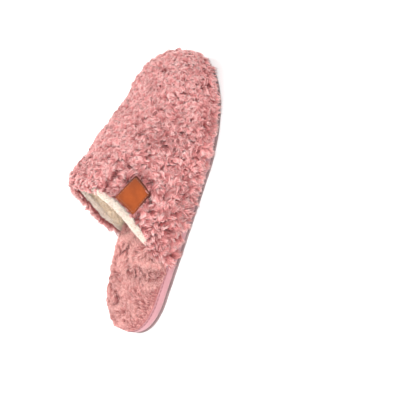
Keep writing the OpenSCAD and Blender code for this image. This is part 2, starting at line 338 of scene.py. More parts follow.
def sole_layer(name, low, high, heel_d, toe_d, edge_low, edge_high, material,
               stations=110, crown=0.0, floor=None):
    """A slab in the shape of the sole with rounded edges.

    crown lifts the middle of its top, and floor gives the height of its underside."""
    ks = (1 - np.cos(np.linspace(0, math.pi, stations))) / 2
    turn = np.linspace(0, math.pi / 2, EDGE_STEPS)
    tall = min(edge_high, high - low - edge_low)
    inset = np.concatenate([edge_low * (1 - np.sin(turn)), edge_high * (1 - np.cos(turn))])
    rise = np.concatenate([low + edge_low * (1 - np.cos(turn)), high - tall * (1 - np.sin(turn))])
    across = np.linspace(-1, 1, ACROSS_STEPS)[1:-1]
    sides = np.concatenate([across, np.ones(len(inset)), across[::-1], -np.ones(len(inset))])
    insets = np.concatenate([np.full(len(across), edge_low), inset,
                             np.full(len(across), edge_high), inset[::-1]])
    heights = np.concatenate([np.full(len(across), low), rise, np.full(len(across), high), rise[::-1]])
    k, side, inward = ks[:, None], sides[None, :], insets[None, :]
    x, y = sole_point(k, side, heel_d, toe_d, inward)
    z = np.broadcast_to(heights, x.shape).copy()
    z += np.where(np.isclose(heights, high), crown * (1 - sides ** 2), 0) * heel_round(k) * toe_round(k)
    if floor is not None:
        z += np.where(np.isclose(heights, low), floor(y, side), 0)
    return clean(loft(name, np.stack([x, y, z], -1), material))


def upper_grid(d, rows, cols, edge=0.0):
    """Points of the upper at depth d, from the collar to the tip of the toe."""
    s = np.linspace(-1, 1, cols)[None, :]
    i = np.sin(np.linspace(0, math.pi / 2, rows))[:, None]
    return upper_point(lerp(collar_y(s) + edge, TIP_Y - d, i), s, d)


def upper_layer(name, d0, d1, material):
    """One layer of the upper between two depths."""
    outer, inner = (upper_grid(d, UPPER_ROWS, UPPER_COLS) for d in (d0, d1))
    return clean(sheet(name, outer, inner, material))


# ---------------------------------------------------------------- cloth

CLOTH_FRAMES = 20


def puffed(points, faces, sewn, pressure, most):
    """Points of a fabric after a short cloth simulation that fills it with air.

    sewn marks the points that stay where they are, most is the furthest any point may move."""
    mesh = bpy.data.meshes.new("puffed")
    mesh.from_pydata((points * MM).tolist(), [], faces)
    piece = bpy.data.objects.new("puffed", mesh)
    bpy.context.scene.collection.objects.link(piece)
    group = piece.vertex_groups.new(name="sewn")
    group.add(np.flatnonzero(sewn).tolist(), 1.0, "REPLACE")
    cloth = piece.modifiers.new("cloth", "CLOTH")
    cloth.settings.quality = 4
    cloth.settings.mass = 0.2
    cloth.settings.tension_stiffness = 12
    cloth.settings.compression_stiffness = 12
    cloth.settings.bending_stiffness = 0.4
    cloth.settings.vertex_group_mass = group.name
    cloth.settings.use_pressure = True
    cloth.settings.uniform_pressure_force = pressure
    cloth.settings.effector_weights.gravity = 0
    cloth.collision_settings.use_collision = False
    for step in range(CLOTH_FRAMES):
        bpy.context.scene.frame_set(step + 1)
    shaped = piece.evaluated_get(bpy.context.evaluated_depsgraph_get()).data
    after = np.array([v.co for v in shaped.vertices]) / MM
    bpy.data.objects.remove(piece)
    bpy.context.scene.frame_set(1)
    move = after - points
    far = np.linalg.norm(move, axis=1, keepdims=True)
    return points + move * np.minimum(1, most / np.maximum(far, TINY))


def between(field, row, col):
    """Values of a grid at shares row and col of its height and width."""
    r = np.clip(row * (field.shape[0] - 1), 0, field.shape[0] - 1.001)
    c = np.clip(col * (field.shape[1] - 1), 0, field.shape[1] - 1.001)
    i, j = r.astype(int), c.astype(int)
    u, v = (r - i)[..., None], (c - j)[..., None]
    top = lerp(field[i, j], field[i, j + 1], v)
    return lerp(top, lerp(field[i + 1, j], field[i + 1, j + 1], v), u)


# ---------------------------------------------------------------- fluff

LEAN_SPREAD = 0.35
STRAY_LEAN = 0.12
STRAY_HEADING = 0.25
MAP_MARGIN = 0.02
MAP_RIGHT = 0.97
MAP_CELL = 0.012
TIP_TAPER = 0.6


def scatter(points, faces, count):
    """Random even places on a triangle surface: positions, normals, and a reader of point values."""
    corner = points[faces]
    normal = np.cross(corner[:, 1] - corner[:, 0], corner[:, 2] - corner[:, 0])
    area = np.linalg.norm(normal, axis=1)
    vertex_normal = np.zeros_like(points)
    for c in range(3):
        np.add.at(vertex_normal, faces[:, c], normal)
    pick = rng.choice(len(faces), count, p=area / area.sum())
    r, q = np.sqrt(rng.random(count)), rng.random(count)
    share = np.stack([1 - r, r * (1 - q), r * q], 1)

    def read(values):
        return np.einsum("nk,nk...->n...", share, values[faces[pick]])

    return read(points), unit(read(unit(vertex_normal))), read


def triangles(quads):
    """Two triangles for each quad."""
    quads = np.array(quads)
    return np.concatenate([quads[:, [0, 1, 2]], quads[:, [0, 2, 3]]])


def nearest(centres, points):
    """For each point, the number of the centre that is nearest."""
    tree = KDTree(len(centres))
    for i, c in enumerate(centres):
        tree.insert(c, i)
    tree.balance()
    return np.array([tree.find(p)[1] for p in points])


def patchy(points, size, shift=0.0):
    """Soft random patches between -1 and 1, about size millimetres across."""
    return np.array([noise.noise(Vector(p) / size + Vector((shift, 0, shift))) for p in points])


def grow(roots, normals, lay, length, lean, turn, per_lock, gather, rings=7, combed=None, fine=None):
    """Paths of strands that rise from their roots and curl over together in small locks.

    lean is the tilt at the root and at the tip, turn the least and most curl, both in radians.
    lay pulls the tips one way, and gather is how far they draw together in their lock.
    Each lock heads its own way, or, when combed is a size and a spread, in soft streams.
    fine is 1 where the locks are smallest, and less where they are bigger.
    Also returns one random number per strand that is the same for all of a lock."""
    count = len(roots)
    chance = None if fine is None else fine / fine.sum()
    centres = roots[rng.choice(count, max(1, count // per_lock), replace=False, p=chance)]
    lock = nearest(centres, roots)
    locks = len(centres)
    ways = rng.uniform(0, 2 * math.pi, locks)
    if combed:
        ways = 2 * math.pi * patchy(centres, combed[0], 9) + ways / math.pi * combed[1]
    heading = ways[lock] + rng.normal(0, STRAY_HEADING, count)
    curl = (rng.choice([-1, 1], locks) * rng.uniform(*turn, locks))[lock]
    lean_end = rng.uniform(lean[1] - LEAN_SPREAD, lean[1] + LEAN_SPREAD, locks)[lock]
    lean_end += rng.normal(0, STRAY_LEAN, count)
    reach = length * rng.uniform(0.8, 1.15, locks)[lock] * rng.uniform(0.85, 1.1, count)
    t = np.linspace(0, 1, rings)
    forward = unit(np.array([0, 1, 0]) - normals * normals[:, 1:2])
    sideways = np.cross(normals, forward)
    angle = (heading[:, None] + curl[:, None] * t)[..., None]
    tilt = lerp(lean[0], lean_end[:, None], t)[..., None]
    flat = forward[:, None] * np.cos(angle) + sideways[:, None] * np.sin(angle)
    way = normals[:, None] * np.cos(tilt) + flat * np.sin(tilt) + lay[:, None] * t[:, None]
    step = unit(way) * (reach / (rings - 1))[:, None, None]
    path = roots[:, None] + np.cumsum(step, 1) - step[:, :1]
    path += (centres[lock] - roots)[:, None] * (gather * smooth(t))[:, None]
    return path, rng.normal(0, 1, locks)[lock]


def circle(side, other, corners):
    """Corners of a unit ring between two directions, for each point of each path."""
    turn = np.arange(corners) * 2 * math.pi / corners
    return side[:, :, None] * np.cos(turn)[:, None] + other[:, :, None] * np.sin(turn)[:, None]


def in_pieces(name, pieces, order, paths, thick, shade, pile):
    """Strands split along some order into pieces of one mesh each."""
    for n, part in enumerate(np.array_split(np.argsort(order, kind="stable"), pieces)):
        yield strands(f"{name}_{n + 1}", paths[part], thick[part], shade[part], pile)


def strands(name, paths, thickness, tint, material):
    """One mesh of closed three-sided strands. Its map holds the tint across and the height up."""
    around = 3
    count, rings = paths.shape[:2]
    along = unit(np.gradient(paths, axis=1))
    side = unit(np.cross(along, unit(rng.normal(size=(count, 1, 3)))))
    other = np.cross(along, side)
    t = np.linspace(0, 1, rings)
    taper = (1 - TIP_TAPER * t ** 2)[None, :, None, None]
    tube = paths[:, :, None] + circle(side, other, around) * taper * thickness[:, None, None, None]
    tube = tube[:, :-1].reshape(count, -1, 3)
    points = np.concatenate([tube, paths[:, -1:]], 1)
    per = points.shape[1]

    j = np.arange(around)
    i = np.arange(rings - 2)[:, None]
    a, b = i * around + j, i * around + (j + 1) % around
    quads = np.stack([a, b, b + around, a + around], -1).reshape(-1, 4)
    last = (rings - 2) * around
    tips = np.stack([last + j, last + (j + 1) % around, np.full(around, per - 1)], -1)
    root = j[::-1]
    corners = np.concatenate([quads.ravel(), tips.ravel(), root])
    sizes = np.array([4] * len(quads) + [3] * (around + 1))
    ring_of = np.where(corners == per - 1, rings - 1, corners // around)
    slot_of = np.concatenate([np.tile([0, 1, 1, 0], len(quads)), [0, 1, 0.5] * around, [0, 0.5, 1]])

    mesh = bpy.data.meshes.new(name)
    mesh.vertices.add(count * per)
    mesh.vertices.foreach_set("co", (points * MM).astype(np.float32).ravel())
    shift = np.arange(count)[:, None] * per
    mesh.loops.add(count * len(corners))
    mesh.loops.foreach_set("vertex_index", (shift + corners).astype(np.int32).ravel())
    starts = np.arange(count)[:, None] * len(corners) + np.concatenate([[0], np.cumsum(sizes)[:-1]])
    mesh.polygons.add(count * len(sizes))
    mesh.polygons.foreach_set("loop_start", starts.astype(np.int32).ravel())
    mesh.polygons.foreach_set("use_smooth", np.ones(count * len(sizes), bool))
    mesh.update(calc_edges=True)
    u = np.clip(tint, MAP_MARGIN, MAP_RIGHT)[:, None] + (slot_of - 0.5) * MAP_CELL
    v = np.broadcast_to(MAP_MARGIN + (1 - 2 * MAP_MARGIN) * ring_of / (rings - 1), u.shape)
    layer = mesh.uv_layers.new(name="OFBake")
    layer.data.foreach_set("uv", np.stack([u, v], -1).astype(np.float32).ravel())
    mesh.materials.append(material)
    mesh.validate()
    made = bpy.data.objects.new(name, mesh)
    bpy.context.scene.collection.objects.link(made)
    return made


# ---------------------------------------------------------------- materials


def add(mat, kind, inputs=(), **settings):
    """A new node of a material, with its settings and its inputs set or linked."""
    made = mat.node_tree.nodes.new("ShaderNode" + kind)
    for key, value in settings.items():
        setattr(made, key, value)
    for key, value in dict(inputs).items():
        if isinstance(value, bpy.types.NodeSocket):
            mat.node_tree.links.new(value, made.inputs[key])
        else:
            made.inputs[key].default_value = value
    return made


def surface(name, roughness=0.8, **inputs):
    """A material with one Principled shader. Returns both."""
    mat = bpy.data.materials.new(name)
    mat.use_nodes = True
    shader = mat.node_tree.nodes["Principled BSDF"]
    shader.inputs["Roughness"].default_value = roughness
    for key, value in inputs.items():
        shader.inputs[key.replace("_", " ")].default_value = value
    return mat, shader


def link(mat, output, target):
    """Joins two sockets of a material."""
    mat.node_tree.links.new(output, target)


def place(mat, *scale):
    """Texture coordinates on the object, where scale is repeats per metre on each axis."""
    where = add(mat, "TexCoord").outputs["Object"]
    axes = scale if len(scale) == 3 else scale * 3
    return add(mat, "Mapping", {"Vector": where, "Scale": axes}).outputs["Vector"]


def clouds(mat, detail, *scale):
    """Soft random clouds."""
    inputs = {"Vector": place(mat, *scale), "Scale": 1.0, "Detail": detail}
    return add(mat, "TexNoise", inputs).outputs["Fac"]


def pebbles(mat, scale):
    """Small round cells."""
    return add(mat, "TexVoronoi", {"Vector": place(mat, scale), "Scale": 1.0}).outputs["Distance"]


def ramp(mat, value, stops):
    """A colour ramp through (position, colour) stops."""
    made = add(mat, "ValToRGB", {"Fac": value})
    ends = made.color_ramp.elements
    for _ in range(len(stops) - 2):
        ends.new(0.5)
    for element, (position, colour) in zip(ends, stops):
        element.position = position
        element.color = (*colour, 1)
    return made.outputs["Color"]


def mix(mat, kind, factor, one, two):
    """Two colours or colour sockets, mixed."""
    made = add(mat, "Mix", data_type="RGBA", blend_type=kind)
    made.inputs["Factor"].default_value = factor if isinstance(factor, float) else 0.0
    if not isinstance(factor, float):
        link(mat, factor, made.inputs["Factor"])
    for value, index in ((one, 6), (two, 7)):
        if isinstance(value, bpy.types.NodeSocket):
            link(mat, value, made.inputs[index])
        else:
            made.inputs[index].default_value = (*value, 1)
    return made.outputs[2]


def bump(mat, shader, height, depth, strength=0.6):
    """Bump of a given depth in millimetres."""
    made = add(mat, "Bump", {"Height": height, "Distance": depth * MM, "Strength": strength})
    link(mat, made.outputs["Normal"], shader.inputs["Normal"])


def pile_material(name, deep, middle, tip, pale, sheen=0.35):
    """Curly pile: dark at the root by painted shade, light at the tip by painted highlight, with a
    different shade for each lock.
    """
    mat, shader = surface(name, 0.7, Sheen_Weight=sheen, Sheen_Roughness=0.45, Sheen_Tint=(*tip, 1),
                          Specular_IOR_Level=0.3)
    uv = add(mat, "UVMap", uv_map="OFBake").outputs["UV"]
    split = add(mat, "SeparateXYZ", {"Vector": uv})
    # Painted shade at the roots and a painted highlight at the tips, along the height of each strand.
    height = ramp(mat, split.outputs["Y"], [(0.3, deep), (0.62, middle), (1.0, tip)])
    shade = ramp(mat, split.outputs["X"],
                 [(0.1, (0.6, 0.45, 0.45)), (0.5, (0.9, 0.86, 0.86)), (0.85, pale)])
    link(mat, mix(mat, "MULTIPLY", 1.0, height, shade), shader.inputs["Base Color"])
    return mat


def backing_material(name, dark, light):
    """Knitted backing of a pile fabric: fine rows of loops."""
    mat, shader = surface(name, 0.95, Sheen_Weight=0.2)
    rows = add(mat, "TexWave", {"Vector": place(mat, 1), "Scale": 160.0, "Distortion": 2.0,
                                "Detail": 2.0}).outputs["Fac"]
    grain = clouds(mat, 2.0, 300)
    loops = add(mat, "Math", {0: rows, 1: grain}, operation="ADD").outputs[0]
    link(mat, ramp(mat, grain, [(0.3, dark), (0.7, light)]), shader.inputs["Base Color"])
    bump(mat, shader, loops, 0.3)
    return mat


def cloth_material(name, dark, light, pitch):
    """Plain woven cloth with crossing threads, slightly uneven in colour."""
    mat, shader = surface(name, 0.8, Sheen_Weight=0.35, Sheen_Roughness=0.4, Specular_IOR_Level=0.3)
    count = 1 / (pitch * MM)
    waves = [add(mat, "TexWave", {"Vector": place(mat, count), "Scale": 0.31, "Distortion": 0.6,
                                  "Detail": 1.0}, bands_direction=axis).outputs["Fac"]
             for axis in ("DIAGONAL", "Z")]
    weave = add(mat, "Math", {0: waves[0], 1: waves[1]}, operation="MULTIPLY").outputs[0]
    tone = ramp(mat, clouds(mat, 4.0, 45, 45, 90), [(0.3, dark), (0.7, light)])
    threads = ramp(mat, weave, [(0.0, (0.6, 0.55, 0.55)), (0.6, (1, 1, 1))])
    shaded = mix(mat, "MULTIPLY", 0.25, tone, threads)
    link(mat, shaded, shader.inputs["Base Color"])
    bump(mat, shader, weave, 0.12)
    return mat


def grain_material(name, dark, light, size, depth, roughness, **more):
    """Foam, rubber or board: a fine pebbled grain of some millimetres across."""
    mat, shader = surface(name, roughness, **more)
    cells = pebbles(mat, 1 / (size * MM))
    link(mat, ramp(mat, clouds(mat, 5.0, 60), [(0.3, dark), (0.7, light)]), shader.inputs["Base Color"])
    bump(mat, shader, cells, depth)
    return mat


def leather_material(name):
    """Smooth tan leather: fine pores, soft clouds of colour, and a dark burnished rim."""
    mat, shader = surface(name, 0.6, Specular_IOR_Level=0.25)
    pores = pebbles(mat, 1400)
    rim = add(mat, "Attribute", attribute_name="rim").outputs["Fac"]
    tone = ramp(mat, clouds(mat, 6.0, 130), [(0.3, (0.2, 0.035, 0.003)), (0.7, (0.28, 0.052, 0.005))])
    burn = ramp(mat, rim, [(0.15, (0, 0, 0)), (0.6, (1, 1, 1))])
    darkened = mix(mat, "MIX", burn, tone, (0.08, 0.015, 0.005))
    link(mat, darkened, shader.inputs["Base Color"])
    bump(mat, shader, pores, 0.06)
    return mat


def thread_material(name, colour):
    """Twisted sewing thread."""
    mat, shader = surface(name, 0.6, Sheen_Weight=0.2)
    twist = add(mat, "TexWave", {"Vector": place(mat, 1), "Scale": 900.0},
                bands_direction="DIAGONAL").outputs["Fac"]
    dark = tuple(c * 0.6 for c in colour)
    link(mat, ramp(mat, twist, [(0.2, dark), (0.8, colour)]), shader.inputs["Base Color"])
    bump(mat, shader, twist, 0.08)
    return mat


# ---------------------------------------------------------------- putting pieces on bodies


def crosses_bend(piece, slot, *nodes):
    """The piece's place is baked into its mesh, and it stands for these CAD nodes."""
    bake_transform(piece)
    if nodes:
        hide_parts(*nodes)


def rides_rear(piece, slot, *nodes):
    """The piece moves with the rear of the foot and stands for these CAD nodes."""
    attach(piece, "rearfoot")
    if nodes:
        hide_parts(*nodes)


def both(layer):
    """The two CAD nodes of a layer that crosses the bend."""
    return f"{layer}_rear", f"{layer}_forefoot"


# ---------------------------------------------------------------- the sole


def tread(y, side):
    """Height of the cross grooves in the underside of the outsole."""
    phase = (y - HEEL_Y) % TREAD_PITCH
    middle = np.abs(y - (HEEL_Y + TOE_Y) / 2) < SOLE_LEN / 2 - 2 * TREAD_PITCH
    groove = smooth(1 - (np.abs(phase - TREAD_PITCH / 2) - GROOVE_HALF_W) / GROOVE_SLOPE)
    return TREAD_DEPTH * groove * middle * smooth((GROOVE_END - np.abs(side)) / GROOVE_END_SLOPE)


def build_sole():
    rubber = grain_material("rubber", (0.19, 0.125, 0.125), (0.25, 0.17, 0.17), 1.1, 0.15, 0.75)
    eva = grain_material("eva_foam", (0.8, 0.77, 0.7), (0.88, 0.85, 0.78), 0.6, 0.08, 0.85)
    wrap_cloth = cloth_material("wrap_cloth", (0.43, 0.21, 0.23), (0.5, 0.25, 0.27), 0.5)
    board = grain_material("board", (0.4, 0.28, 0.16), (0.5, 0.36, 0.22), 0.4, 0.05, 0.9)
    foam = grain_material("soft_foam", (0.82, 0.72, 0.45), (0.9, 0.8, 0.55), 0.9, 0.2, 0.95)

    outsole = sole_layer("outsole", 0, OUTSOLE_T, 0, 0, 0.6, 0.5, rubber, stations=330, floor=tread)
    crosses_bend(outsole, "outsole", *both("outsole"))
    inset = WRAP_T + WRAP_GAP
    midsole = sole_layer("midsole", WRAP_Z + 0.9, SEAM_Z - 0.1, inset, inset, 0.4, 0.4, eva)
    crosses_bend(midsole, "midsole_foam", *both("midsole"))
    crosses_bend(build_wrap(wrap_cloth), "sidewall_cloth", *both("sidewall_wrap"))
    lift = COVER_IN + COVER_T + GAP
    heel_lift = COVER_T - HEEL_LAP + GAP
    stiff = sole_layer("insole_board", board_low[2], board_high[2], heel_lift, lift, 0.3, 0.3, board)
    crosses_bend(stiff, "board", *both("insole_board"))
    pad = sole_layer("footbed_foam", foam_low[2], foam_high[2], heel_lift + 6, lift + 3, 1.5, 4, foam)
    crosses_bend(pad, "soft_foam", *both("footbed_foam"))
    thread = thread_material("seam_thread", (0.3, 0.09, 0.1))
    crosses_bend(build_sole_stitches(thread), "seam_thread", *both("sole_seam_stitches"))


def build_wrap(material):
    """Cloth band round the midsole: it bulges a little, and is turned in above and below."""
    ks = (1 - np.cos(np.linspace(0, math.pi, 150))) / 2
    turn = np.linspace(0, math.pi, 15)
    height = SEAM_Z - WRAP_Z
    rise = WRAP_Z + 0.05 + (height - 0.1) * (1 - np.cos(turn)) / 2
    outer = np.stack([WRAP_T * (1 - np.sin(turn)), rise], 1)
    inner = np.stack([np.full(2, WRAP_T), [SEAM_Z - 0.4, WRAP_Z + 0.4]], 1)
    profile = np.concatenate([outer, inner])
    rings = []
    for side, order in ((1, ks), (-1, ks[::-1])):
        x, y = sole_point(order[:, None], side, 0, 0, profile[None, :, 0])
        z = np.broadcast_to(profile[:, 1], x.shape)
        rings.append(np.stack([x, y, z], -1)[: -1])
    rings = np.concatenate(rings)
    count, corners = rings.shape[:2]
    here = np.arange(count)[:, None] * corners
    after = (np.arange(count)[:, None] + 1) % count * corners
    one, two = np.arange(corners), (np.arange(corners) + 1) % corners
    quads = np.stack([here + one, here + two, after + two, after + one], -1).reshape(-1, 4)
    return clean(new_object("sidewall_wrap", rings.reshape(-1, 3), quads.tolist(), material))


def rods(name, starts, ends, thickness, material):
    """Short pieces of thread from starts to ends, thinner at both ends."""
    round_end = np.array([0.5, 0.95, 1, 0.95, 0.5])
    rings, corners = len(round_end), 6
    path = lerp(starts[:, None], ends[:, None], np.linspace(0, 1, rings)[None, :, None])
    along = unit(np.gradient(path, axis=1))
    side = unit(np.cross(along, np.array([0.3, 0.2, 0.93])))
    ring = circle(side, np.cross(along, side), corners)
    points = path[:, :, None] + ring * (thickness * round_end)[None, :, None, None]
    faces = []
    for first in range(0, len(path) * rings * corners, rings * corners):
        for row in range(first, first + (rings - 1) * corners, corners):
            for c in range(corners):
                a, b = row + c, row + (c + 1) % corners
                faces.append((a, b, b + corners, a + corners))
        faces.append(tuple(range(first + corners - 1, first - 1, -1)))
        faces.append(tuple(range(first + (rings - 1) * corners, first + rings * corners)))
    return new_object(name, points.reshape(-1, 3), faces, material)


def stitches(name, points, gap, thickness, material):
    """A stitch between each two neighbouring points, where gap is the share left free at its ends."""
    return rods(name, lerp(points[:-1], points[1:], gap), lerp(points[:-1], points[1:], 1 - gap),
                thickness, material)


def along_outline(inset, z, pitch):
    """Points every pitch millimetres round the outline of the sole."""
    ks = (1 - np.cos(np.linspace(0, math.pi, 400))) / 2
    right = np.stack(sole_point(ks, 1, 0, 0, inset), 1)
    left = np.stack(sole_point(ks[::-1], -1, 0, 0, inset), 1)
    loop = np.concatenate([right, left[1:]])
    run = np.concatenate([[0], np.cumsum(np.linalg.norm(np.diff(loop, axis=0), axis=1))])
    at = np.linspace(0, run[-1], int(run[-1] / pitch) + 1)
    flat = np.stack([np.interp(at, run, loop[:, c]) for c in range(2)], 1)
    return np.concatenate([flat, np.full((len(flat), 1), z)], 1)


def build_sole_stitches(material):
    points = along_outline(0.15, SEAM_Z - 1.0, 4.0)
    return stitches("sole_seam_stitches", points, 0.12, STITCH_R, material)


# ---------------------------------------------------------------- the footbed


def build_footbed():
    # Painted shade: the backing is dark rose so that the gaps between the strands look shaded.
    backing = backing_material("footbed_backing", (0.3, 0.1, 0.1), (0.45, 0.17, 0.17))
    cover = sole_layer("footbed_cover", SEAM_Z + GAP, COVER_TOP_Z - FOOT_PILE, 0.8, COVER_IN,
                       0.4, 10, backing, stations=70, crown=0.8)
    points = puff_up_cover(cover)
    faces = pile_floor(points, cover)
    crosses_bend(cover, "footbed_plush", *both("footbed_cover"))
    build_footbed_fluff(points, faces)


def puff_up_cover(cover):
    """Fills the footbed cover and returns its points."""
    points = np.array([v.co for v in cover.data.vertices]) / MM
    points[:, 2] += 0.6 * patchy(points, 18, 3) * (points[:, 2] > SEAM_Z + 3)
    quads = [tuple(f.vertices) for f in cover.data.polygons]
    points = puffed(points, quads, points[:, 2] < SEAM_Z + 2, 3, 1.8)
    cover.data.vertices.foreach_set("co", (points * MM).astype(np.float32).ravel())
    cover.data.update()
    return points


def pile_floor(points, cover):
    """The triangles of the cover that carry pile: its top and its sides, up to the toes."""
    cover.data.calc_loop_triangles()
    faces = np.array([t.vertices for t in cover.data.loop_triangles])
    middle = points[faces].mean(1)
    one, two = (points[faces[:, c]] - points[faces[:, 0]] for c in (1, 2))
    upward = unit(np.cross(one, two))[:, 2]
    return faces[(upward > -0.35) & (middle[:, 1] < FLUFF_END_Y) & (middle[:, 2] > SEAM_Z + 0.8)]


def build_footbed_fluff(points, faces):
    """Long soft pile, combed in streams, shorter at the heel and down the sides."""
    roots, normals, _ = scatter(points, faces, FOOTBED_STRANDS)
    facing_up = np.clip(normals[:, 2], 0, 1)
    lay = (np.array([0.3, -0.3, 2]) - 1.3 * normals) * (1 - facing_up ** 2)[:, None]
    length = FOOTBED_LENGTH * lerp(0.3, 1, facing_up ** 3)
    length *= lerp(0.7, 1, smooth((roots[:, 1] - HEEL_Y) / 50))
    length *= lerp(1, 0.7, smooth((-roots[:, 0] - 16) / 14))
    paths, own = grow(roots, normals, lay, length, (0.5, 1.6), (-0.6, 0.9), 9, 0.22, combed=(22, 0.35))
    shade = 0.5 + 0.4 * patchy(roots, 14) + 0.16 * own + rng.normal(0, 0.16, len(roots))
    # Painted light: the pile forward of the heel is lighter, against the shade that the upper casts on
    # it.
    shade += 0.35 * smooth((roots[:, 1] + 90) / 40)
    thick = rng.uniform(0.22, 0.36, len(roots))
    pile = pile_material("footbed_pile", (0.46, 0.15, 0.145), (0.7, 0.32, 0.3), (0.95, 0.64, 0.6),
                         (1, 0.99, 0.97))
    for fluff in in_pieces("footbed_fluff", FOOTBED_PIECES, roots[:, 1], paths, thick, shade, pile):
        crosses_bend(fluff, "footbed_plush")


# ---------------------------------------------------------------- the upper


def puffed_upper():
    """How far the plush of the upper is puffed out, on a grid from the collar to the toe.

    The last two rows, where the columns meet at the tip, stay as they are."""
    rows, cols = 27, 45
    points = upper_grid(UPPER_PILE + 1, rows + 2, cols)[:rows].reshape(-1, 3)
    row, col = np.divmod(np.arange(rows * cols), cols)
    sewn = (row == 0) | (row == rows - 1) | (col == 0) | (col == cols - 1)
    uneven = unit(points - [0, 0, BASE_Z]) * (1.2 * patchy(points, 24, 8) * ~sewn)[:, None]
    moved = puffed(points + uneven, grid_faces(rows, cols), sewn, 30, 2.5)
    shift = (moved - points).reshape(rows, cols, 3)
    return np.concatenate([shift, np.zeros((2, cols, 3))])


def build_upper():
    puff = puffed_upper()
    # Painted shade: the backing is dark rose so that the gaps between the strands look shaded.
    backing = backing_material("plush_backing", (0.3, 0.1, 0.1), (0.45, 0.17, 0.17))
    fleece = backing_material("fleece_backing", (0.98, 0.84, 0.68), (1.0, 0.88, 0.73))
    soft = grain_material("interlining", (0.82, 0.8, 0.72), (0.9, 0.88, 0.8), 0.8, 0.15, 0.95)
    tape = cloth_material("stay_tape", (0.75, 0.73, 0.7), (0.82, 0.8, 0.77), 0.6)

    rows, cols = UPPER_ROWS, UPPER_COLS
    shift = between(puff, np.linspace(0, 1, rows)[:, None], np.linspace(0, 1, cols)[None, :])
    outer, inner = (upper_grid(d, rows, cols) + shift for d in (UPPER_PILE, PLUSH_T))
    plush = clean(sheet("upper_plush", outer, inner, backing))
    crosses_bend(plush, "upper_plush", *both("upper_plush"))
    foam = upper_layer("upper_foam", FOAM_D, LINING_D - GAP, soft)
    crosses_bend(foam, "soft_foam", *both("upper_foam"))
    lining = upper_layer("upper_lining", LINING_D, UPPER_T, fleece)
    crosses_bend(lining, "lining_fleece", *both("upper_lining"))
    stay = frame["nodes"]["collar_stay_tape"]
    stay.data.materials.clear()
    stay.data.materials.append(tape)
    build_upper_fluff(puff)
    build_lining_fluff()


def covered(s):
    """1 where the pile hides the binding, 0 on the outer side of the opening, where it shows."""
    return 1 - smooth(part_way(s, 0.1, 0.52)) + smooth(part_way(s, 0.76, 0.94))


def binding_w(s):
    """Width of the visible binding, which gets narrow where it is covered and at both ends."""
    narrow_end = 1 - 0.7 * smooth(part_way(np.abs(s), 0.87, 0.97))
    return BINDING_W * lerp(0.9, 0.55, covered(s)) * narrow_end


def from_tag(s, out):
    """Distance from the middle of the leather tag, where 1 is its edge."""
    along = (out - TAG_GAP) / TAG_LEN
    across = (s - TAG_FROM - TAG_SKEW * along) / (TAG_TO - TAG_FROM)
    return 2 * np.maximum(np.abs(along - 0.5), np.abs(across - 0.5))


def rolled_edge(s, rows):
    """Places of rows that carry the pile over the edge of the collar and on to the binding."""
    turn = np.linspace(ROLL_TURN, 0, rows, endpoint=False)[:, None]
    y = collar_y(s) - binding_w(s) * covered(s) * np.sin(turn)
    return y, lerp(UPPER_PILE, ROLL_MIDDLE_D, covered(s) * (1 - np.cos(turn)))


def upper_roots(puff):
    """Where the strands of the upper stand: place, normal, share round, distance from the collar."""
    rows, over, cols = 62, 8, 110
    s = np.linspace(-1, 1, cols)[None, :]
    share = np.sin(np.linspace(0, math.pi / 2, rows))[:, None]
    rolled_y, rolled_depth = rolled_edge(s, over)
    y = np.concatenate([rolled_y, lerp(collar_y(s), TIP_Y - UPPER_PILE, share)])
    depth = np.concatenate([rolled_depth, np.full((rows, cols), UPPER_PILE)])
    row = np.concatenate([np.zeros((over, 1)), np.linspace(0, 1, rows)[:, None]])
    grid = (upper_point(y, s, depth) + between(puff, row, (s + 1) / 2)).reshape(-1, 3)
    faces = triangles(grid_faces(rows + over, cols))
    roots, normals, read = scatter(grid, faces, UPPER_STRANDS)
    round_it = read(np.tile(s.ravel(), rows + over))
    out = read((y - collar_y(s)).ravel())
    keep = from_tag(round_it, out) > 0.97
    return roots[keep], normals[keep], round_it[keep], out[keep]


def build_upper_fluff(puff):
    """Short curls that hang over the seams, bigger low on the outer side and darker there by painted
    shade.
    """
    roots, normals, s, out = upper_roots(puff)
    low = smooth(part_way(np.abs(s), 0.8, 1))
    at_edge = smooth(1 - out / 5)
    far = np.maximum(smooth(part_way(-s, 0.3, 0.5)), smooth(part_way(s, 0.82, 0.94)))
    lay = np.zeros_like(roots)
    lay[:, 2] = -2.2 * low
    lay[:, 1] = (lerp(0.5, -0.2, covered(s)) - far) * at_edge
    edge_length = lerp(0.5, 0.55 + 0.4 * far, covered(s))
    length = lerp(UPPER_LENGTH, UPPER_LOW_LENGTH, low) * lerp(1, edge_length, at_edge)
    length *= 1 + 0.3 * smooth((1.5 - from_tag(s, out)) / 0.4)
    fine = lerp(1, 0.3, smooth((s + 0.1) / 0.6) * smooth((70 - out) / 60))
    paths, own = grow(roots, normals, lay, length, (0.15, 2.0), (1.5, 4.2), 9, 0.62, fine=fine)
    paths[..., 2] = np.maximum(paths[..., 2], STRAND_LOW_Z)
    # Painted shade: low on the outer side near the collar the pile is darker, and its locks differ more
    # in tone.
    darkened = smooth(part_way(s, 0.2, 0.7)) * smooth((110 - out) / 60)
    contrast = lerp(1, 0.6, smooth((roots[:, 1] - 30) / 60)) * (1 + 1.6 * darkened)
    # Painted light: where far is 1, the pile along the edge of the collar is lighter, against its
    # shade.
    shade = 0.5 + 0.3 * patchy(roots, 16, 4) + 0.1 * far * at_edge - 0.2 * darkened
    shade += (0.2 * own + rng.normal(0, 0.16, len(roots))) * contrast
    thick = rng.uniform(0.28, 0.44, len(roots))
    pile = pile_material("upper_pile", (0.36, 0.075, 0.075), (0.8, 0.34, 0.33), (1.0, 0.79, 0.76),
                         (1, 1, 1))
    for fluff in in_pieces("upper_fluff", UPPER_PIECES, s, paths, thick, shade, pile):
        crosses_bend(fluff, "upper_plush")


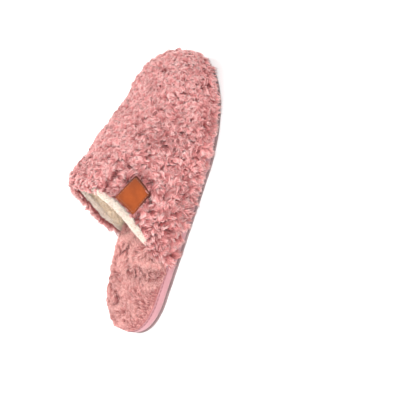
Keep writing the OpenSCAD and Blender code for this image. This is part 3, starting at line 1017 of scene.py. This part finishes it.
def build_lining_fluff():
    """Short cream pile inside the opening."""
    rows, cols = 50, 90
    grid = upper_grid(UPPER_T, rows, cols, -0.5 * binding_w(np.linspace(-1, 1, cols))).reshape(-1, 3)
    faces = triangles(grid_faces(rows, cols, flip=True))
    faces = faces[grid[faces].mean(1)[:, 1] < LINING_END_Y]
    roots, normals, _ = scatter(grid, faces, LINING_STRANDS)
    lay = np.tile([0.0, -0.3, -0.2], (len(roots), 1))
    length = np.full(len(roots), LINING_LENGTH)
    paths, _ = grow(roots, normals, lay, length, (0.9, 1.6), (0.2, 1.4), 4, 0.1, rings=5)
    shade = 0.95 + 0.2 * patchy(roots, 10, 2) + rng.normal(0, 0.08, len(roots))
    pile = pile_material("lining_pile", (1.0, 0.82, 0.62), (1.0, 0.86, 0.68), (1.0, 0.9, 0.75),
                         (1, 0.99, 0.97), sheen=0.5)
    thick = rng.uniform(0.28, 0.42, len(roots))
    for fluff in in_pieces("lining_fluff", LINING_PIECES, roots[:, 0], paths, thick, shade, pile):
        crosses_bend(fluff, "lining_fleece")


# ---------------------------------------------------------------- collar and tag


def binding_rings(stations, corners, shrink):
    """Rings of the rolled binding, made smaller all round by shrink."""
    s = np.linspace(-1, 1, stations)[:, None]
    a = np.linspace(0, 2 * math.pi, corners, endpoint=False)[None, :]
    outer = lerp(BINDING_D, BINDING_FAR_D, covered(s)) + shrink
    depth = UPPER_T - (UPPER_T - outer) * (1 + np.cos(a)) / 2
    half = binding_w(s) / 2
    back = -GAP - half - (half - shrink) * np.sin(a)
    return upper_point(collar_y(s) + back, s, depth)


def build_collar():
    fleece = backing_material("binding_fleece", (0.94, 0.86, 0.78), (0.98, 0.9, 0.83))
    rings = binding_rings(120, 20, BINDING_SHRINK)
    roll = clean(loft("collar_binding", rings, fleece))
    rides_rear(roll, "lining_fleece", "collar_binding")
    build_binding_fluff(rings)

    s = np.linspace(-0.97, 0.97, COLLAR_STITCHES + 1)
    points = upper_point(collar_y(s) + 0.6, s, UPPER_PILE - 1.2)
    thread = thread_material("collar_thread", (0.5, 0.2, 0.2))
    row = stitches("collar_stitches", points, 0.2, STITCH_R, thread)
    rides_rear(row, "seam_thread", "collar_stitches")


def build_binding_fluff(rings):
    """Very short cream pile all round the binding."""
    stations, corners = rings.shape[:2]
    points = np.concatenate([rings, rings[:, :1]], 1).reshape(-1, 3)
    faces = triangles(grid_faces(stations, corners + 1))
    roots, normals, _ = scatter(points, faces, BINDING_STRANDS)
    centre = np.repeat(rings.mean(1), corners + 1, 0)
    inward = ((roots - centre[nearest(centre, roots)]) * normals).sum(1) < 0
    normals[inward] *= -1
    lay, length = np.zeros_like(roots), np.full(len(roots), BINDING_LENGTH)
    paths, _ = grow(roots, normals, lay, length, (0.6, 1.6), (0.2, 1.2), 5, 0.3, rings=5)
    shade = 0.7 + 0.3 * patchy(roots, 8, 6) + rng.normal(0, 0.12, len(roots))
    pile = pile_material("binding_pile", (0.88, 0.76, 0.64), (0.9, 0.8, 0.71), (0.9, 0.82, 0.75),
                         (1, 1, 0.99), sheen=0.25)
    thick = rng.uniform(0.16, 0.25, len(roots))
    for fluff in in_pieces("binding_fluff", BINDING_PIECES, roots[:, 0], paths, thick, shade, pile):
        rides_rear(fluff, "lining_fleece")


def tag_point(a, b, depth):
    """A point of the tag: a and b run from -1 to 1 across and along it."""
    s = lerp(TAG_FROM, TAG_TO, (a + 1) / 2) + TAG_SKEW * (b + 1) / 2
    return upper_point(collar_y(s) + TAG_GAP + TAG_LEN * (b + 1) / 2, s, depth)


def tag_grid(steps):
    """Places on the tag, closer together at its edge, with slightly rounded corners."""
    edge = np.sin(np.linspace(-1, 1, steps) * math.pi / 2)
    a, b = np.meshgrid(edge, edge)
    stretch = (np.abs(a) ** TAG_SQUARE_POWER + np.abs(b) ** TAG_SQUARE_POWER) ** (1 / TAG_SQUARE_POWER)
    square = np.maximum(np.abs(a), np.abs(b))
    pull = np.where(square > 0, square / np.maximum(stretch, TINY), 1)
    return a * pull, b * pull, 1 - square


def build_tag():
    steps = 41
    a, b, to_rim = tag_grid(steps)
    curl = np.sqrt(np.clip(1 - (1 - np.clip(to_rim / TAG_CURL, 0, 1)) ** 2, 0, 1))
    outer = tag_point(a, b, -GAP - TAG_T * lerp(TAG_EDGE_T, 1, curl))
    inner = tag_point(a, b, np.full_like(a, -GAP))
    tag = sheet("leather_tag", outer, inner, leather_material("tan_leather"))
    # The dark rim runs all round the tag, and is darker on the edges toward the toe.
    toward_toe = smooth((b + 0.3 * a + 0.3) / 1.2)
    dark_rim = (1 - np.clip(to_rim / TAG_RIM, 0, 1)) * lerp(0.4, 1, toward_toe)
    rim = np.concatenate([dark_rim.ravel(), np.ones(steps * steps)])
    attribute = tag.data.attributes.new("rim", "FLOAT", "POINT")
    attribute.data.foreach_set("value", rim.astype(np.float32))
    rides_rear(tag, "tag_leather", "leather_tag")
    build_tag_stitches()


def build_tag_stitches():
    """One row along each edge of the tag."""
    turn = np.linspace(-TAG_SEAM, TAG_SEAM, TAG_STITCHES_A_SIDE + 1)
    level = np.full_like(turn, TAG_SEAM)
    starts, ends = [], []
    for across, along in ((turn, -level), (level, turn), (-turn, level), (-level, -turn)):
        points = tag_point(across, along, -GAP - TAG_T - 0.1)
        starts.append(lerp(points[:-1], points[1:], 0.2))
        ends.append(lerp(points[:-1], points[1:], 0.8))
    thread = thread_material("tag_thread", (0.3, 0.08, 0.03))
    rows = rods("tag_stitches", np.concatenate(starts), np.concatenate(ends), 0.32, thread)
    rides_rear(rows, "tag_thread", "tag_stitches")


# ---------------------------------------------------------------- stage

FLOOR_HALF = 3000
FLOOR_Z = -0.4
SKY = 0.43


def build_stage():
    mat, shader = surface("floor", 0.9)
    tone = ramp(mat, clouds(mat, 2.0, 2), [(0.3, (0.93, 0.93, 0.93)), (0.7, (0.96, 0.96, 0.96))])
    link(mat, tone, shader.inputs["Base Color"])
    signs = ((-1, -1), (1, -1), (1, 1), (-1, 1))
    corners = [(x * FLOOR_HALF, y * FLOOR_HALF, FLOOR_Z) for x, y in signs]
    new_object("floor", corners, [(0, 1, 2, 3)], mat)

    world = bpy.data.worlds.new("studio")
    bpy.context.scene.world = world
    world.use_nodes = True
    world.node_tree.nodes["Background"].inputs["Color"].default_value = (1, 0.99, 0.98, 1)
    world.node_tree.nodes["Background"].inputs["Strength"].default_value = SKY

    add_light("front", (0.85, 0.2, 0.85), 0.4, 13.6)
    add_light("back", (-0.9, 0.1, 0.9), 0.5, 17)
    add_light("heel", (0.55, -1.15, 0.35), 0.6, 12)
    bpy.context.scene.view_settings.view_transform = "Standard"


def add_light(name, where, size, power):
    """A square lamp that shines at the origin. Place and size are in metres."""
    light = bpy.data.lights.new(name, "AREA")
    light.size = size
    light.energy = power
    lamp = bpy.data.objects.new(name, light)
    lamp.location = where
    lamp.rotation_mode = "QUATERNION"
    lamp.rotation_quaternion = (-Vector(where)).to_track_quat("-Z", "Y")
    bpy.context.scene.collection.objects.link(lamp)


def build_camera():
    """Looks down at the outer side, turned so that the toe points up in the picture. In metres."""
    eye = Vector((0.6778, 0.0398, 0.5545))
    aim = Vector((0.0196, 0.0023, -0.0225))
    toe_up = Vector((-0.1925, 0.9687, 0.1567))
    back = (eye - aim).normalized()
    right = toe_up.cross(back).normalized()
    up = back.cross(right)
    camera = bpy.data.objects.new("camera", bpy.data.cameras.new("camera"))
    camera.data.sensor_width = 36
    camera.data.dof.use_dof = True
    camera.data.dof.focus_distance = (eye - Vector((0.02, -0.02, 0.08))).length
    camera.data.dof.aperture_fstop = 8
    camera.data.lens = 85.55
    camera.matrix_world = Matrix.Translation(eye) @ Matrix((right, up, back)).transposed().to_4x4()
    bpy.context.scene.collection.objects.link(camera)
    bpy.context.scene.camera = camera


build_sole()
build_footbed()
build_upper()
build_collar()
build_tag()
build_stage()
build_camera()
